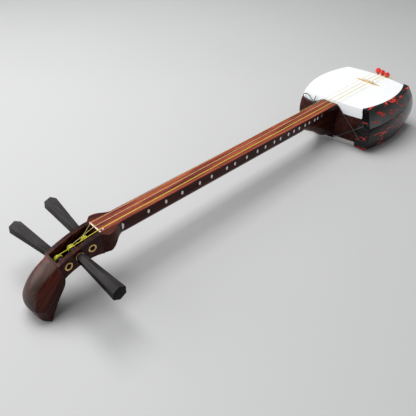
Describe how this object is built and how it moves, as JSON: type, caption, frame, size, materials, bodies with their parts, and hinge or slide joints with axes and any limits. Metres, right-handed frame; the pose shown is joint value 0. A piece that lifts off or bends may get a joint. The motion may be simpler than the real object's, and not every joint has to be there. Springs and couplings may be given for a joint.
{
  "type": "shamisen",
  "caption": "Long-necked plucked lute with a square skinned body, arm-rest cover, turning pegs, sliding bridge and curled head, lying on its back.",
  "frame": {"origin": "centre of the body's back face, which lies on the floor", "axes": "+X along the neck's line towards the tail, -X towards the head, +Z out of the front skin, -Y the side of the arm-rest cover"},
  "size_m": [0.9759, 0.2414, 0.107],
  "materials": {
    "neck_wood": "polished, red-brown with dark grain",
    "body_wood": "polished, dark red-brown",
    "peg_wood": "satin, near black",
    "bone": "polished ivory colour",
    "mark_white": "matt white",
    "skin_white": "taut pale skin",
    "skin_grey": "taut grey skin",
    "bamboo": "smooth tan",
    "silk_red": "braided silk",
    "lacquer": "black lacquer with red patches",
    "cord_black": "satin cord",
    "grommet": "black",
    "brass": "polished",
    "steel": "satin",
    "string_yellow": "twisted silk"
  },
  "bodies": {
    "body": {"arm_cover": "lacquer", "cord_eyes": "grommet", "cover_bow": "cord_black", "cover_cord": "cord_black", "head": "neck_wood", "neck_lower": "neck_wood", "neck_middle": "neck_wood", "neck_upper": "neck_wood", "neo_collar": "silk_red", "neo_cord": "silk_red", "neo_knots": "silk_red", "nut": "bone", "panel_arm_side": "body_wood", "panel_far_side": "body_wood", "panel_neck_side": "body_wood", "panel_tail_side": "body_wood", "peg_ring_far_1": "brass", "peg_ring_far_2": "brass", "peg_ring_far_3": "brass", "peg_ring_near_1": "brass", "peg_ring_near_2": "brass", "peg_ring_near_3": "brass", "position_marks": "mark_white", "skin_back": "skin_grey", "skin_front": "skin_white", "string_1": "string_yellow", "string_2": "string_yellow", "string_3": "string_yellow"},
    "bridge": {"bridge_foot": "bamboo", "bridge_saddle": "bone"},
    "sawari_screw": {"sawari_screw": "steel"},
    "peg_1": {"peg_1": "peg_wood", "winding_1": "string_yellow"},
    "peg_2": {"peg_2": "peg_wood", "winding_2": "string_yellow"},
    "peg_3": {"peg_3": "peg_wood", "winding_3": "string_yellow"}
  },
  "joints": [
    {"name": "peg_1_turn", "type": "hinge", "parent": "body", "child": "peg_1", "pos_m": [-0.78752, 0, 0.07238], "axis": [-0.1241, 0.9921, -0.0169], "continuous": true},
    {"name": "peg_2_turn", "type": "hinge", "parent": "body", "child": "peg_2", "pos_m": [-0.76559, 0, 0.07908], "axis": [0.0237, -0.9997, 0.0017], "continuous": true},
    {"name": "peg_3_turn", "type": "hinge", "parent": "body", "child": "peg_3", "pos_m": [-0.7425, 0, 0.08179], "axis": [0.0491, 0.9987, 0.0153], "continuous": true},
    {"name": "sawari_screw_turn", "type": "hinge", "parent": "body", "child": "sawari_screw", "pos_m": [-0.71734, -0.0117, 0.05779], "axis": [0.0152, 0, 0.9999], "range_deg": [0, 720]},
    {"name": "bridge_slide", "type": "slide", "parent": "body", "child": "bridge", "axis": [-1, 0, 0], "range_m": [0, 0.015]}
  ]
}
